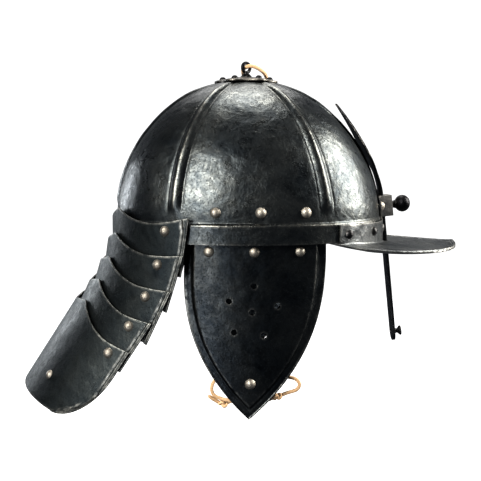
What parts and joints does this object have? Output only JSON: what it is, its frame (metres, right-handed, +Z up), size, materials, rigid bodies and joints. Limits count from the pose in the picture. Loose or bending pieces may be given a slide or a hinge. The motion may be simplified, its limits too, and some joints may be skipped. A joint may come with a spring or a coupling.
{
  "type": "lobster-tailed pot helmet",
  "caption": "Steel pot helmet with ribbed bowl, peak, sliding nasal bar, hinged cheekpieces and an articulated neck guard of lames.",
  "frame": {"origin": "middle of the head opening, in the plane of the bowl's rim", "axes": "+X forward over the peak, +Y to the wearer's left, +Z up"},
  "size_m": [0.3984, 0.2156, 0.3013],
  "materials": {
    "skull_steel": "blackened hammered steel, semi-gloss, worn bright on the ribs",
    "finial_steel": "blackened steel, worn",
    "peak_steel": "blackened hammered steel with a bright worn edge",
    "cheek_steel": "blackened steel, semi-gloss, worn creases",
    "lame_steel": "blackened steel, worn bright at the edges",
    "nasal_steel": "blackened steel",
    "black_steel": "black finished steel",
    "bare_steel": "bare grey steel",
    "bright_rivet": "worn bright domed rivets",
    "dark_rivet": "blackened domed rivets",
    "washer_steel": "plain steel washers",
    "tan_leather": "natural tan leather thong",
    "dark_leather": "brown leather",
    "liner_leather": "brown leather lining"
  },
  "bodies": {
    "skull": {"skull_bowl": "skull_steel", "finial_plate": "finial_steel", "finial_eye": "black_steel", "finial_nut": "black_steel", "finial_rivets": "black_steel", "hanging_thong": "tan_leather", "side_rivets_right": "bright_rivet", "side_rivets_left": "bright_rivet", "side_washers_right": "washer_steel", "side_washers_left": "washer_steel", "hinge_leather_upper_right": "dark_leather", "hinge_leather_upper_left": "dark_leather", "liner_band": "liner_leather", "liner_tongues": "liner_leather", "liner_lace": "tan_leather", "peak": "peak_steel", "peak_rivets": "dark_rivet", "nasal_bracket": "bare_steel", "bracket_rivets": "bright_rivet"},
    "nasal": {"nasal_bar": "nasal_steel", "nasal_button": "nasal_steel"},
    "thumbscrew": {"thumbscrew_shank": "black_steel", "thumbscrew_knob": "black_steel"},
    "cheek_right": {"cheek_plate_right": "cheek_steel", "cheek_rivets_right": "bright_rivet", "hinge_leather_lower_right": "dark_leather", "tip_rivet_right": "bright_rivet", "lace_tab_right": "dark_leather", "chin_lace_right": "tan_leather"},
    "cheek_left": {"cheek_plate_left": "cheek_steel", "cheek_rivets_left": "bright_rivet", "hinge_leather_lower_left": "dark_leather", "tip_rivet_left": "bright_rivet", "lace_tab_left": "dark_leather", "chin_lace_left": "tan_leather"},
    "lame_1": {"lame_1": "lame_steel", "lame_rivets_1": "bright_rivet"},
    "lame_2": {"lame_2": "lame_steel", "lame_rivets_2": "bright_rivet"},
    "lame_3": {"lame_3": "lame_steel", "lame_rivets_3": "bright_rivet"},
    "lame_4": {"lame_4": "lame_steel", "lame_rivets_4": "bright_rivet"},
    "lame_5": {"lame_5": "lame_steel", "lame_rivets_5": "bright_rivet", "tail_rivets": "bright_rivet"}
  },
  "joints": [
    {"name": "nasal_slide", "type": "slide", "parent": "skull", "child": "nasal", "axis": [-0.1063, 0, 0.9943], "range_m": [0, 0.075]},
    {"name": "thumbscrew_turn", "type": "hinge", "parent": "skull", "child": "thumbscrew", "pos_m": [0.12344, 0, 0.02585], "axis": [0.9943, 0, 0.1063], "range_deg": [-360, 0]},
    {"name": "cheek_right_hinge", "type": "hinge", "parent": "skull", "child": "cheek_right", "pos_m": [0, -0.099, 0.001], "axis": [-1, 0, 0], "range_deg": [-12, 28]},
    {"name": "cheek_left_hinge", "type": "hinge", "parent": "skull", "child": "cheek_left", "pos_m": [0, 0.099, 0.001], "axis": [1, 0, 0], "range_deg": [-12, 28]},
    {"name": "lame_1_pivot", "type": "hinge", "parent": "skull", "child": "lame_1", "pos_m": [-0.0726, 0, 0.0104], "axis": [0, 1, 0], "range_deg": [-8, 3.5]},
    {"name": "lame_2_pivot", "type": "hinge", "parent": "lame_1", "child": "lame_2", "pos_m": [-0.0789, 0, -0.0171], "axis": [0, 1, 0], "range_deg": [-8, 3.5]},
    {"name": "lame_3_pivot", "type": "hinge", "parent": "lame_2", "child": "lame_3", "pos_m": [-0.08908, 0, -0.04341], "axis": [0, 1, 0], "range_deg": [-8, 3.5]},
    {"name": "lame_4_pivot", "type": "hinge", "parent": "lame_3", "child": "lame_4", "pos_m": [-0.10293, 0, -0.06799], "axis": [0, 1, 0], "range_deg": [-8, 3.5]},
    {"name": "lame_5_pivot", "type": "hinge", "parent": "lame_4", "child": "lame_5", "pos_m": [-0.12017, 0, -0.09033], "axis": [0, 1, 0], "range_deg": [-8, 3.5]}
  ]
}
